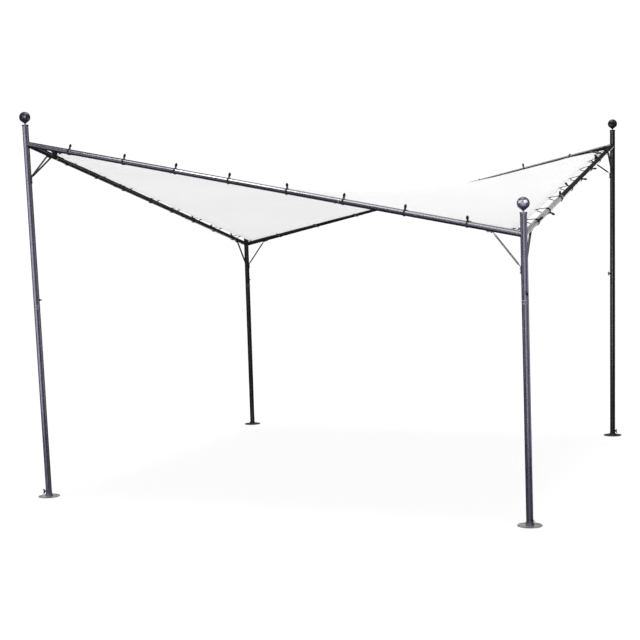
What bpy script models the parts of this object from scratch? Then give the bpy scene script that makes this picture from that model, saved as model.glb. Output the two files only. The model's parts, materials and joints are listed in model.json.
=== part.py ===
"""Garden gazebo: four tube posts, two high and two low corners, and a fabric sail stretched between them.

Metres, +Z up. The origin is on the ground at the middle of the four corners.
The front side faces -Y, and the front left and back right corners are the high ones.
"""

import math

import bmesh
import bpy
from mathutils import Matrix, Vector

SPAN = 3.6
HIGH = 2.567
LOW = 1.804
HIGH_FOOT_INSET = 0.034
POST_ABOVE_BEAM = 0.128
LOWER_POST_TOP = 1.38

POST_RADIUS = 0.022
BEAM_RADIUS = 0.019
TUBE_WALL = 0.0012
SLIDE_GAP = 0.0004
SPIGOT_LENGTH = 0.060
STUB_LENGTH = 0.085
MITRE_BLOCK = 0.16
BEAM_SECTIONS = 3
SEAT_GAP = 0.0003
STUB_ROOT = 0.004
CUT_PAST = 0.02
SIDES = 20
PLATE_SIDES = 32

PLATE_RADIUS = 0.0775
PLATE_THICKNESS = 0.004
PEG_HOLE_RADIUS = 0.007
PEG_HOLE_CIRCLE = 0.055
PEG_HOLES = 4
COLLAR_RADIUS = 0.0265
COLLAR_TOP = 0.020
FOOT_SPIGOT_TOP = 0.095

BALL_RADIUS = 0.040
BALL_ABOVE_CAP = 0.053
BALL_LAST_ANGLE = math.radians(125)
BALL_RINGS = 10
NECK_RADIUS = 0.005
NECK_LENGTH = 0.008
CAP_RADIUS = 0.0242
CAP_HEIGHT = 0.009
CAP_EDGE = 0.002
PLUG_LENGTH = 0.030

BRACE_WIDTH = 0.016
BRACE_THICKNESS = 0.003
BRACE_PAD = 0.044
BRACE_ROD_RADIUS = 0.0063
BRACE_ROD_TIP = 0.0018
BRACE_ROD_START = 0.009
BRACE_ROD_TAPER = 0.018
BRACE_ROD_SIDES = 16
BRACE_DOWN_POST = {HIGH: 0.242, LOW: 0.198}
BRACE_ALONG_BEAM = {HIGH: 0.258, LOW: 0.192}

STRAP_WIDTH = 0.026
STRAP_THICKNESS = 0.0025
STRAP_ALONG_BEAM = {"front": 0.235, "left": 0.360, "back": 0.160, "right": 0.360}
BUCKLE_SIZE = 0.042
BUCKLE_THICKNESS = 0.010
BUCKLE_CLEARANCE = 0.008
TONGUE_WIDTH = 0.014
TONGUE_THICKNESS = 0.003
TONGUE_REACH = 0.024
TIP_PROBE = 0.01
HOOK_RADIUS = 0.0035
HOOK_WASHER_RADIUS = 0.008
HOOK_WASHER = 0.003
HOOK_OVERLAP = 0.016

EDGE_GAP = 0.063
HIGH_TIP_INSET = 0.155
LOW_TIP_INSET = 0.075
TAPER_START = 0.82
CANOPY_THICKNESS = 0.004
CANOPY_CELLS = 16

CORNERS = {
    "front_left": (-1, -1, HIGH),
    "front_right": (1, -1, LOW),
    "back_left": (-1, 1, LOW),
    "back_right": (1, 1, HIGH),
}
BEAM_ENDS = {
    "front": ("front_right", "front_left"),
    "left": ("back_left", "front_left"),
    "back": ("back_left", "back_right"),
    "right": ("front_right", "back_right"),
}
UP = Vector((0, 0, 1))


def clear_scene():
    for obj in list(bpy.data.objects):
        bpy.data.objects.remove(obj, do_unlink=True)


def new_collection(name, hidden=False):
    collection = bpy.data.collections.new(name)
    bpy.context.scene.collection.children.link(collection)
    collection.hide_render = hidden
    return collection


def new_material(name, color, roughness, metallic=0.0):
    material = bpy.data.materials.new(name)
    material.use_nodes = True
    shader = material.node_tree.nodes["Principled BSDF"]
    shader.inputs["Base Color"].default_value = (*color, 1.0)
    shader.inputs["Roughness"].default_value = roughness
    shader.inputs["Metallic"].default_value = metallic
    material.diffuse_color = (*color, 1.0)
    return material


def add_object(name, mesh, material, collection):
    obj = bpy.data.objects.new(name, mesh)
    mesh.materials.append(material)
    collection.objects.link(obj)
    return obj


def bore_in(radius):
    return radius - TUBE_WALL


def spigot_for(radius):
    """The outer radius of the reduced end that slides into a tube of this radius."""
    return bore_in(radius) - SLIDE_GAP


def spigot_bore_for(radius):
    return spigot_for(radius) - TUBE_WALL


def stand(obj, start, direction):
    """Puts the object's local origin at start, with its local Z along direction."""
    obj.location = start
    obj.rotation_mode = "QUATERNION"
    obj.rotation_quaternion = direction.to_track_quat("Z", "Y")
    return obj


def turned(name, outline, material, collection, closed_ring=False, sides=SIDES):
    """A turned shape: (radius, height) points from the top of the outer side down, spun about local Z."""
    mesh = bpy.data.meshes.new(name)
    points = [(radius, 0.0, height) for radius, height in outline]
    edges = [(i, i + 1) for i in range(len(points) - 1)]
    if closed_ring:
        edges.append((len(points) - 1, 0))
    mesh.from_pydata(points, edges, [])
    obj = add_object(name, mesh, material, collection)
    screw = obj.modifiers.new("Turn", "SCREW")
    screw.axis = "Z"
    screw.steps = sides
    screw.render_steps = sides
    screw.use_merge_vertices = True
    screw.merge_threshold = 0.0001
    screw.use_smooth_shade = True
    return obj


def rod_mesh(name, radius, low, high, sides=SIDES):
    """A solid cylinder along local Z, from height low to height high."""
    mesh = bpy.data.meshes.new(name)
    cage = bmesh.new()
    bmesh.ops.create_cone(
        cage, cap_ends=True, segments=sides, radius1=radius, radius2=radius, depth=high - low,
        matrix=Matrix.Translation((0, 0, (low + high) / 2)),
    )
    cage.to_mesh(mesh)
    cage.free()
    return mesh


def helper(mesh):
    """A hidden object that a Boolean adds or cuts away."""
    obj = bpy.data.objects.new(mesh.name, mesh)
    cutters.objects.link(obj)
    obj.hide_render = True
    obj.display_type = "WIRE"
    return obj


def cutter(mesh, start, direction):
    return stand(helper(mesh), start, direction)


def combine(obj, other, operation):
    boolean = obj.modifiers.new(f"{operation.title()} {other.name}", "BOOLEAN")
    boolean.operation = operation
    boolean.object = other
    return boolean


def joint_point(corner):
    """Where the two beam axes meet the post's axis."""
    side_x, side_y, height = CORNERS[corner]
    return Vector((side_x * SPAN / 2, side_y * SPAN / 2, height))


def foot_point(corner):
    side_x, side_y, height = CORNERS[corner]
    reach = SPAN / 2 - (HIGH_FOOT_INSET if height == HIGH else 0.0)
    return Vector((side_x * reach, side_y * reach, 0.0))


def post_axis(corner):
    return (joint_point(corner) - foot_point(corner)).normalized()


def post_joint_length(corner):
    """How far along the post's axis its two sections meet."""
    return LOWER_POST_TOP / post_axis(corner).z


def post_length(corner):
    return (joint_point(corner) - foot_point(corner)).length + POST_ABOVE_BEAM


def sides_at(corner):
    return [side for side, ends in BEAM_ENDS.items() if corner in ends]


def beam_direction(side, corner):
    """The direction along the beam, away from this corner."""
    low_end, high_end = BEAM_ENDS[side]
    other = high_end if corner == low_end else low_end
    return (joint_point(other) - joint_point(corner)).normalized()


def make_foot(corner):
    plate = add_object(
        f"foot_{corner}",
        rod_mesh(f"foot_{corner}", PLATE_RADIUS, 0.0, PLATE_THICKNESS, sides=PLATE_SIDES),
        galvanised, gazebo,
    )
    plate.location = foot_point(corner)
    spigot = spigot_for(POST_RADIUS)
    hollow = spigot_bore_for(POST_RADIUS)
    outline = [
        (spigot, FOOT_SPIGOT_TOP), (spigot, COLLAR_TOP), (COLLAR_RADIUS, COLLAR_TOP),
        (COLLAR_RADIUS, PLATE_THICKNESS / 2), (hollow, PLATE_THICKNESS / 2), (hollow, FOOT_SPIGOT_TOP),
    ]
    socket = turned(f"socket_{corner}", outline, galvanised, cutters, closed_ring=True)
    socket.hide_render = True
    socket.display_type = "WIRE"
    stand(socket, foot_point(corner), post_axis(corner))
    combine(plate, socket, "UNION")
    for hole in range(PEG_HOLES):
        turn = math.tau * (hole + 0.5) / PEG_HOLES
        spot = foot_point(corner) + PEG_HOLE_CIRCLE * Vector((math.cos(turn), math.sin(turn), 0))
        drill = rod_mesh(f"peg_hole_{corner}_{hole}", PEG_HOLE_RADIUS, -CUT_PAST, CUT_PAST, sides=12)
        combine(plate, cutter(drill, spot, UP), "DIFFERENCE")
    return plate


def tube_outline(radius, low, high, with_spigot):
    """A tube from low to high, with a reduced end above it that slides into the next tube."""
    bore = bore_in(radius)
    if not with_spigot:
        return [(radius, high), (radius, low), (bore, low), (bore, high)]
    spigot = spigot_for(radius)
    hollow = spigot_bore_for(radius)
    return [
        (spigot, high + SPIGOT_LENGTH), (spigot, high), (radius, high), (radius, low), (bore, low),
        (bore, high - TUBE_WALL), (hollow, high - TUBE_WALL), (hollow, high + SPIGOT_LENGTH),
    ]


def make_lower_post(corner):
    outline = tube_outline(POST_RADIUS, COLLAR_TOP + SEAT_GAP, post_joint_length(corner), with_spigot=True)
    post = turned(f"lower_post_{corner}", outline, paint, gazebo, closed_ring=True)
    return stand(post, foot_point(corner), post_axis(corner))


def make_upper_post(corner):
    """The upper tube, with a short stub welded on for each beam."""
    low = post_joint_length(corner) + SEAT_GAP
    high = post_length(corner)
    name = f"upper_post_{corner}"
    post = add_object(name, rod_mesh(name, POST_RADIUS, low, high), paint, gazebo)
    stand(post, foot_point(corner), post_axis(corner))
    post.data.shade_smooth()
    stubs = []
    for side in sides_at(corner):
        stub = rod_mesh(f"stub_{corner}_{side}", spigot_for(BEAM_RADIUS), 0.0, STUB_LENGTH)
        hollow = rod_mesh(
            f"stub_bore_{corner}_{side}", spigot_bore_for(BEAM_RADIUS), STUB_ROOT, STUB_LENGTH + CUT_PAST
        )
        place = (joint_point(corner), beam_direction(side, corner))
        combine(post, cutter(stub, *place), "UNION")
        stubs.append(cutter(hollow, *place))
    bore = rod_mesh(f"bore_{corner}", bore_in(POST_RADIUS), low - CUT_PAST, high + CUT_PAST)
    combine(post, cutter(bore, foot_point(corner), post_axis(corner)), "DIFFERENCE")
    for stub in stubs:
        combine(post, stub, "DIFFERENCE")
    return post


def make_finial(corner):
    """A ball on a pointed neck, over a cap with a plug that sits in the post."""
    reach = post_length(corner) + SEAT_GAP
    centre = CAP_HEIGHT + BALL_ABOVE_CAP
    plug = spigot_for(POST_RADIUS)
    outline = [(0.0, centre + BALL_RADIUS)]
    for ring in range(1, BALL_RINGS + 1):
        angle = BALL_LAST_ANGLE * ring / BALL_RINGS
        outline.append((BALL_RADIUS * math.sin(angle), centre + BALL_RADIUS * math.cos(angle)))
    outline += [
        (NECK_RADIUS, CAP_HEIGHT + NECK_LENGTH), (NECK_RADIUS, CAP_HEIGHT),
        (CAP_RADIUS - CAP_EDGE, CAP_HEIGHT), (CAP_RADIUS, CAP_HEIGHT - CAP_EDGE), (CAP_RADIUS, 0.0),
        (plug, 0.0), (plug, -PLUG_LENGTH), (0.0, -PLUG_LENGTH),
    ]
    finial = turned(f"finial_{corner}", outline, gloss_paint, gazebo)
    return stand(finial, foot_point(corner) + reach * post_axis(corner), post_axis(corner))


def make_mitre(corner, side):
    """A block on the neighbouring beam's half of the corner, so that the two beam ends meet on the diagonal."""
    own = beam_direction(side, corner)
    other = next(beam_direction(name, corner) for name in sides_at(corner) if name != side)
    post = post_axis(corner)
    away = other - own
    away = (away - away.dot(post) * post).normalized()
    mesh = bpy.data.meshes.new(f"mitre_{side}_{corner}")
    cage = bmesh.new()
    bmesh.ops.create_cube(cage, size=MITRE_BLOCK)
    cage.to_mesh(mesh)
    cage.free()
    middle = joint_point(corner) + (MITRE_BLOCK / 2 - SEAT_GAP / 2) * away
    return cutter(mesh, middle, away)


def make_beam(side):
    """Three tube sections, each with its reduced upper end in the next. The ends are cut to fit the posts."""
    low_end, high_end = BEAM_ENDS[side]
    start = joint_point(low_end)
    direction = beam_direction(side, low_end)
    length = (joint_point(high_end) - start).length
    step = length / BEAM_SECTIONS
    for index, part in enumerate(("low", "middle", "high")):
        low = index * step + (SEAT_GAP if index else 0.0)
        outline = tube_outline(BEAM_RADIUS, low, (index + 1) * step, with_spigot=index < BEAM_SECTIONS - 1)
        beam = turned(f"beam_{side}_{part}", outline, paint, gazebo, closed_ring=True)
        stand(beam, start, direction)
        for place, corner in ((0, low_end), (BEAM_SECTIONS - 1, high_end)):
            if place != index:
                continue
            cope = rod_mesh(f"cope_{side}_{corner}", POST_RADIUS + SEAT_GAP, -STUB_LENGTH, STUB_LENGTH)
            cut = cutter(cope, joint_point(corner), post_axis(corner))
            combine(beam, cut, "DIFFERENCE")
            combine(beam, make_mitre(corner, side), "DIFFERENCE")


def make_brace(corner, side):
    """A round bar from the post up to the underside of a beam, with flat ends bent onto both."""
    joint = joint_point(corner)
    height = CORNERS[corner][2]
    down = -post_axis(corner)
    along = beam_direction(side, corner)
    post_bend = BRACE_DOWN_POST[height]
    beam_bend = BRACE_ALONG_BEAM[height]
    from_post = (along - along.dot(down) * down).normalized()
    below_beam = (down - down.dot(along) * along).normalized()
    off = SEAT_GAP + BRACE_THICKNESS / 2
    beside_post = joint + (POST_RADIUS + off) * from_post
    under_beam = joint + (BEAM_RADIUS + off) * below_beam
    route = [
        beside_post + (post_bend + BRACE_PAD) * down,
        beside_post + post_bend * down,
        under_beam + beam_bend * along,
        under_beam + (beam_bend + BRACE_PAD) * along,
    ]
    across = down.cross(along).normalized() * BRACE_WIDTH / 2
    mesh = bpy.data.meshes.new(f"brace_{corner}_{side}")
    strip = bmesh.new()
    bends = [strip.verts.new(point - across) for point in route]
    path = [strip.edges.new(pair) for pair in zip(bends, bends[1:])]
    swept = bmesh.ops.extrude_edge_only(strip, edges=path)["geom"]
    far_side = [item for item in swept if isinstance(item, bmesh.types.BMVert)]
    bmesh.ops.translate(strip, vec=2 * across, verts=far_side)
    strip.to_mesh(mesh)
    strip.free()
    brace = add_object(mesh.name, mesh, dark_steel, gazebo)
    shell = brace.modifiers.new("Thickness", "SOLIDIFY")
    shell.thickness = BRACE_THICKNESS
    shell.offset = 0.0
    shell.use_even_offset = True
    slope = route[2] - route[1]
    low = BRACE_ROD_START
    high = slope.length - BRACE_ROD_START
    outline = [
        (0.0, high), (BRACE_ROD_TIP, high), (BRACE_ROD_RADIUS, high - BRACE_ROD_TAPER),
        (BRACE_ROD_RADIUS, low + BRACE_ROD_TAPER), (BRACE_ROD_TIP, low), (0.0, low),
    ]
    rod = turned(f"brace_rod_{corner}_{side}", outline, dark_steel, cutters, sides=BRACE_ROD_SIDES)
    rod.hide_render = True
    rod.display_type = "WIRE"
    stand(rod, route[1], slope.normalized())
    combine(brace, rod, "UNION")
    return brace


def sail_height(x, y):
    """The saddle surface that the four straight beam axes bound."""
    half = SPAN / 2
    return (HIGH + LOW) / 2 + (HIGH - LOW) / 2 * (x * y) / (half * half)


def sail_point(across, back):
    """A point of the sail for two shares from -1 to 1, with the four tips drawn in from the posts."""
    half = SPAN / 2 - EDGE_GAP
    reach = 1 - TAPER_START
    near_x = max(0.0, abs(across) - TAPER_START) / reach
    near_y = max(0.0, abs(back) - TAPER_START) / reach
    tip_inset = HIGH_TIP_INSET if across * back > 0 else LOW_TIP_INSET
    pull = (tip_inset - EDGE_GAP) * near_x * near_y
    x = across * half - math.copysign(pull, across)
    y = back * half - math.copysign(pull, back)
    return Vector((x, y, sail_height(x, y)))


def block_mesh(name, low, high, frame):
    """A box between two corners given in a frame of its own."""
    low, high = Vector(low), Vector(high)
    mesh = bpy.data.meshes.new(name)
    cage = bmesh.new()
    bmesh.ops.create_cube(cage, size=1.0)
    bmesh.ops.scale(cage, vec=high - low, verts=cage.verts)
    bmesh.ops.transform(cage, matrix=frame @ Matrix.Translation((low + high) / 2), verts=cage.verts)
    cage.to_mesh(mesh)
    cage.free()
    return mesh


def strap_run(name, start, end, up):
    """A flat length of webbing from start to end, its width square to up."""
    along = (end - start).normalized()
    face = (up - up.dot(along) * along).normalized()
    frame = Matrix((along, face.cross(along), face)).transposed().to_4x4()
    high = Vector(((end - start).length, STRAP_WIDTH / 2, STRAP_THICKNESS / 2))
    low = Vector((0, -high.y, -high.z))
    return helper(block_mesh(name, low, high, Matrix.Translation(start) @ frame))


def tip_frame(corner):
    """A frame at the sail's tip: X runs inwards along the sail, and Z is square to the sail."""
    side_x, side_y, _ = CORNERS[corner]
    tip = sail_point(side_x, side_y)
    inside = tip - Vector((side_x, side_y, 0)) * TIP_PROBE
    inside.z = sail_height(inside.x, inside.y)
    inwards = (inside - tip).normalized()
    across = UP.cross(inwards).normalized()
    frame = Matrix((inwards, across, inwards.cross(across))).transposed().to_4x4()
    return Matrix.Translation(tip) @ frame


def make_corner_strap(corner):
    """Webbing looped round both beams, with a buckle between them whose tongue holds the sail's tip."""
    frame = tip_frame(corner)
    underside = -CANOPY_THICKNESS / 2 - SEAT_GAP
    half = BUCKLE_SIZE / 2
    buckle_x = -BUCKLE_CLEARANCE - half
    buckle_z = underside - TONGUE_THICKNESS / 2
    low = (buckle_x - half, -half, buckle_z - BUCKLE_THICKNESS / 2)
    high = (buckle_x + half, half, buckle_z + BUCKLE_THICKNESS / 2)
    mesh = block_mesh(f"corner_strap_{corner}", low, high, frame)
    strap = add_object(mesh.name, mesh, webbing, gazebo)
    low = (buckle_x, -TONGUE_WIDTH / 2, underside - TONGUE_THICKNESS)
    high = (TONGUE_REACH, TONGUE_WIDTH / 2, underside)
    tongue = block_mesh(f"tongue_{corner}", low, high, frame)
    combine(strap, helper(tongue), "UNION")
    centre = frame @ Vector((buckle_x, 0, buckle_z))
    inner = (BEAM_RADIUS + SEAT_GAP) / math.cos(math.pi / SIDES)
    half = STRAP_WIDTH / 2
    tubes = []
    for side in sides_at(corner):
        along = beam_direction(side, corner)
        band_at = joint_point(corner) + STRAP_ALONG_BEAM[side] * along
        band = rod_mesh(f"band_{corner}_{side}", inner + STRAP_THICKNESS, -half, half)
        combine(strap, cutter(band, band_at, along), "UNION")
        towards = centre - band_at
        outwards = (towards - towards.dot(along) * along).normalized()
        seat = band_at + (inner + STRAP_THICKNESS / 2) * outwards
        combine(strap, strap_run(f"run_{corner}_{side}", seat, centre, UP), "UNION")
        tube = rod_mesh(f"tube_{corner}_{side}", inner, -STRAP_WIDTH, STRAP_WIDTH)
        tubes.append(cutter(tube, band_at, along))
    for tube in tubes:
        combine(strap, tube, "DIFFERENCE")
    return strap


def make_corner_hook(corner):
    """A level threaded hook in a low post, whose tongue lies on top of the sail's tip."""
    frame = tip_frame(corner)
    seat = CANOPY_THICKNESS / 2 + SEAT_GAP
    low = (-HOOK_OVERLAP, -TONGUE_WIDTH / 2, seat)
    high = (TONGUE_REACH, TONGUE_WIDTH / 2, seat + TONGUE_THICKNESS)
    mesh = block_mesh(f"corner_hook_{corner}", low, high, frame)
    hook = add_object(mesh.name, mesh, dark_steel, gazebo)
    end = frame @ Vector((-HOOK_OVERLAP / 2, 0, seat + TONGUE_THICKNESS / 2))
    start = foot_point(corner)
    start.z = end.z
    inwards = (end - start).normalized()
    first = POST_RADIUS + SEAT_GAP
    rod = rod_mesh(f"hook_rod_{corner}", HOOK_RADIUS, first, (end - start).length, sides=12)
    combine(hook, cutter(rod, start, inwards), "UNION")
    washer = rod_mesh(f"hook_washer_{corner}", HOOK_WASHER_RADIUS, first, first + HOOK_WASHER, sides=16)
    combine(hook, cutter(washer, start, inwards), "UNION")
    return hook


def make_canopy():
    """One saddle-shaped sheet. Its cells are narrower near the edges, where the tips taper."""
    shares = [math.sin(math.pi / 2 * (2 * i / CANOPY_CELLS - 1)) for i in range(CANOPY_CELLS + 1)]
    mesh = bpy.data.meshes.new("canopy")
    sheet = bmesh.new()
    bmesh.ops.create_grid(sheet, x_segments=CANOPY_CELLS, y_segments=CANOPY_CELLS, size=1.0)
    for vertex in sheet.verts:
        column = round((vertex.co.x + 1) / 2 * CANOPY_CELLS)
        row = round((vertex.co.y + 1) / 2 * CANOPY_CELLS)
        vertex.co = sail_point(shares[column], shares[row])
    sheet.to_mesh(mesh)
    sheet.free()
    canopy = add_object("canopy", mesh, sailcloth, gazebo)
    shell = canopy.modifiers.new("Thickness", "SOLIDIFY")
    shell.thickness = CANOPY_THICKNESS
    shell.offset = 0.0
    canopy.data.shade_smooth()
    return canopy


clear_scene()
gazebo = new_collection("garden_gazebo")
cutters = new_collection("cutters", hidden=True)
paint = new_material("anthracite_paint", (0.115, 0.110, 0.140), 0.38, 0.25)
gloss_paint = new_material("anthracite_gloss", (0.075, 0.070, 0.095), 0.22, 0.20)
dark_steel = new_material("dark_steel", (0.060, 0.060, 0.062), 0.50, 0.40)
galvanised = new_material("grey_steel", (0.270, 0.270, 0.245), 0.45, 0.60)
webbing = new_material("black_webbing", (0.020, 0.020, 0.022), 0.80)
sailcloth = new_material("white_sailcloth", (0.860, 0.855, 0.840), 0.75)

for corner_name in CORNERS:
    make_foot(corner_name)
    make_lower_post(corner_name)
    make_upper_post(corner_name)
    make_finial(corner_name)
    for side_name in sides_at(corner_name):
        make_brace(corner_name, side_name)
    if CORNERS[corner_name][2] == HIGH:
        make_corner_strap(corner_name)
    else:
        make_corner_hook(corner_name)
for side_name in BEAM_ENDS:
    make_beam(side_name)
make_canopy()
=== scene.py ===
"""The looks of a garden gazebo: finishes, the sail with its hem, ties and rings, bolts, floor, light and camera."""

import json
import math
import random

import bmesh
import bpy
from mathutils import Matrix, Vector, noise

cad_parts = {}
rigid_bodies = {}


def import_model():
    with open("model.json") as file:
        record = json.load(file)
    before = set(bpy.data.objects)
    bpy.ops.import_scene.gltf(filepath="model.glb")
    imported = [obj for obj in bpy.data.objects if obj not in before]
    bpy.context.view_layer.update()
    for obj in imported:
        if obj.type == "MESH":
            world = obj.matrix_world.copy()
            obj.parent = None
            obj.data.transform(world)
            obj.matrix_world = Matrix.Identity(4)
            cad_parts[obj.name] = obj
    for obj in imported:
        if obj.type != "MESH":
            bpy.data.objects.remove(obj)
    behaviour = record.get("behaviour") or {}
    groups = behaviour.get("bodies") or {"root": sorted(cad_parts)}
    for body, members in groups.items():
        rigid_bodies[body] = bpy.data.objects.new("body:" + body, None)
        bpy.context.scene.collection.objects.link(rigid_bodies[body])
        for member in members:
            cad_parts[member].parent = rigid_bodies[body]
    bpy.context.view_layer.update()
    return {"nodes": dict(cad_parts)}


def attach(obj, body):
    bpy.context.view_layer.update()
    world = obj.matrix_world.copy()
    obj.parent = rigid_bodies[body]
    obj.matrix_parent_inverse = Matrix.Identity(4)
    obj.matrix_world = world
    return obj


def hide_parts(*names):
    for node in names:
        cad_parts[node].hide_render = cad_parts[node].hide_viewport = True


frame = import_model()

SPAN = 3.6
HALF = SPAN / 2
HIGH = 2.567
LOW = 1.804
HIGH_FOOT_INSET = 0.034
POST_RADIUS = 0.022
BEAM_RADIUS = 0.019
LOWER_POST_TOP = 1.38
BEAM_SECTIONS = 3

EDGE_GAP = 0.063
SAIL_HALF = HALF - EDGE_GAP
HIGH_TIP_INSET = 0.155
LOW_TIP_INSET = 0.075
TAPER_START = 0.82
TAPER_POWER = 1.05
CLOTH_THICKNESS = 0.0012
HEM_THICKNESS = 0.0026
HEM_WIDTH = 0.038
HEM_LINES = (0.0, 0.005, 0.010, 0.016, 0.024, 0.033, 0.036, 0.040, 0.050, 0.064)
SAIL_CELLS = 156
SCALLOP = 0.007
SCALLOP_FADE = 0.10

EYELET_DISTANCE = 0.076
EYELET_HOLE = 0.0062
TIP_EYELET = 0.018
TIE_PLACES = {
    "front": (0.346, 0.796, 1.200, 1.605, 2.029, 2.425, 2.840, 3.249),
    "left": (0.508, 0.910, 1.310, 1.745, 2.104, 2.506, 2.899, 3.297),
    "back": (0.375, 0.788, 1.200, 1.605, 2.015, 2.420, 2.830, 3.229),
    "right": (0.385, 0.790, 1.205, 1.650, 2.050, 2.450, 2.880, 3.240),
}
CORD_RADIUS = 0.0023
CORD_GAP = 0.0003
CORD_SIDES = 8
STRAND_OFFSET = 0.0028

STRAP_WIDTH = 0.026
STRAP_THICKNESS = 0.0022
STRAP_ALONG_BEAM = {"front": 0.245, "left": 0.360, "back": 0.145, "right": 0.360}
TIP_PROBE = 0.01
RING_RADIUS = 0.0145
RING_WIRE = 0.0022
LINK_WIRE = 0.0024

CORNERS = {
    "front_left": (-1, -1, HIGH),
    "front_right": (1, -1, LOW),
    "back_left": (-1, 1, LOW),
    "back_right": (1, 1, HIGH),
}
BEAM_ENDS = {
    "front": ("front_right", "front_left"),
    "left": ("back_left", "front_left"),
    "back": ("back_left", "back_right"),
    "right": ("front_right", "back_right"),
}
UP = Vector((0, 0, 1))

CAMERA_PLACE = Vector((3.45168, -9.19008, 1.78884))
CAMERA_TURN = -0.3874
CAMERA_PITCH = -0.0628
CAMERA_ROLL = -0.0312
CAMERA_FOCUS = 1218.17
PHOTO_SIZE = 640
SENSOR = 36.0


def make_camera():
    """The camera of the photograph."""
    forward = Vector((
        math.sin(CAMERA_TURN) * math.cos(CAMERA_PITCH),
        math.cos(CAMERA_TURN) * math.cos(CAMERA_PITCH),
        math.sin(CAMERA_PITCH),
    ))
    level = forward.cross(UP).normalized()
    above = level.cross(forward)
    right = math.cos(CAMERA_ROLL) * level + math.sin(CAMERA_ROLL) * above
    up = right.cross(forward)
    data = bpy.data.cameras.new("camera")
    data.sensor_width = SENSOR
    data.lens = CAMERA_FOCUS / PHOTO_SIZE * SENSOR
    data.clip_end = 500
    camera = bpy.data.objects.new("camera", data)
    bpy.context.scene.collection.objects.link(camera)
    turn = Matrix((right, up, -forward)).transposed().to_4x4()
    camera.matrix_world = Matrix.Translation(CAMERA_PLACE) @ turn
    bpy.context.scene.camera = camera


# Material building

class Nodes:
    """A short way to write a material's node tree."""

    def __init__(self, name):
        self.material = bpy.data.materials.new(name)
        self.material.use_nodes = True
        self.tree = self.material.node_tree
        self.shader = self.tree.nodes["Principled BSDF"]
        self.output = self.tree.nodes["Material Output"]

    def add(self, kind, **settings):
        node = self.tree.nodes.new(kind)
        for key, value in settings.items():
            setattr(node, key, value)
        return node

    def link(self, source, target):
        self.tree.links.new(source, target)
        return target

    def feed(self, socket, value):
        if isinstance(value, bpy.types.NodeSocket):
            self.tree.links.new(value, socket)
        else:
            socket.default_value = value

    def place(self, kind="Object"):
        return self.add("ShaderNodeTexCoord").outputs[kind]

    def noise(self, scale, detail=4.0, rough=0.5, vector=None, distortion=0.0):
        node = self.add("ShaderNodeTexNoise")
        node.inputs["Scale"].default_value = scale
        node.inputs["Detail"].default_value = detail
        node.inputs["Roughness"].default_value = rough
        node.inputs["Distortion"].default_value = distortion
        self.feed(node.inputs["Vector"], vector or self.place())
        return node.outputs["Fac"]

    def cells(self, scale, vector=None, feature="F1", output="Distance"):
        node = self.add("ShaderNodeTexVoronoi", feature=feature)
        node.inputs["Scale"].default_value = scale
        self.feed(node.inputs["Vector"], vector or self.place())
        return node.outputs[output]

    def math(self, operation, *values):
        node = self.add("ShaderNodeMath", operation=operation)
        for socket, value in zip(node.inputs, values):
            self.feed(socket, value)
        return node.outputs["Value"]

    def span(self, value, low, high, to_low=0.0, to_high=1.0, smooth=False):
        node = self.add("ShaderNodeMapRange")
        if smooth:
            node.interpolation_type = "SMOOTHSTEP"
        self.feed(node.inputs["Value"], value)
        node.inputs["From Min"].default_value = low
        node.inputs["From Max"].default_value = high
        node.inputs["To Min"].default_value = to_low
        node.inputs["To Max"].default_value = to_high
        return node.outputs["Result"]

    def blend(self, factor, first, second):
        """Mixes two colours."""
        node = self.add("ShaderNodeMix", data_type="RGBA")
        self.feed(node.inputs["Factor"], factor)
        colors = [socket for socket in node.inputs if socket.type == "RGBA"]
        for socket, value in zip(colors, (first, second)):
            if isinstance(value, tuple):
                value = (*value, 1.0)
            self.feed(socket, value)
        return next(socket for socket in node.outputs if socket.type == "RGBA")

    def axes(self, vector=None):
        node = self.add("ShaderNodeSeparateXYZ")
        self.feed(node.inputs["Vector"], vector or self.place())
        return node.outputs["X"], node.outputs["Y"], node.outputs["Z"]

    def stretch(self, scale, vector=None):
        node = self.add("ShaderNodeMapping")
        node.inputs["Scale"].default_value = scale
        self.feed(node.inputs["Vector"], vector or self.place())
        return node.outputs["Vector"]

    def attribute(self, name):
        return self.add("ShaderNodeAttribute", attribute_name=name).outputs["Fac"]

    def bump(self, height, depth, strength=1.0, below=None):
        node = self.add("ShaderNodeBump")
        node.inputs["Strength"].default_value = strength
        node.inputs["Distance"].default_value = depth
        self.feed(node.inputs["Height"], height)
        if below is not None:
            self.feed(node.inputs["Normal"], below)
        return node.outputs["Normal"]

    def set(self, **values):
        names = {"color": "Base Color", "rough": "Roughness", "metal": "Metallic", "normal": "Normal",
                 "level": "Specular IOR Level", "coat": "Coat Weight", "coat_rough": "Coat Roughness",
                 "sheen": "Sheen Weight", "sheen_rough": "Sheen Roughness"}
        for key, value in values.items():
            if isinstance(value, tuple) and len(value) == 3:
                value = (*value, 1.0)
            self.feed(self.shader.inputs[names[key]], value)
        return self.material


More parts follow.
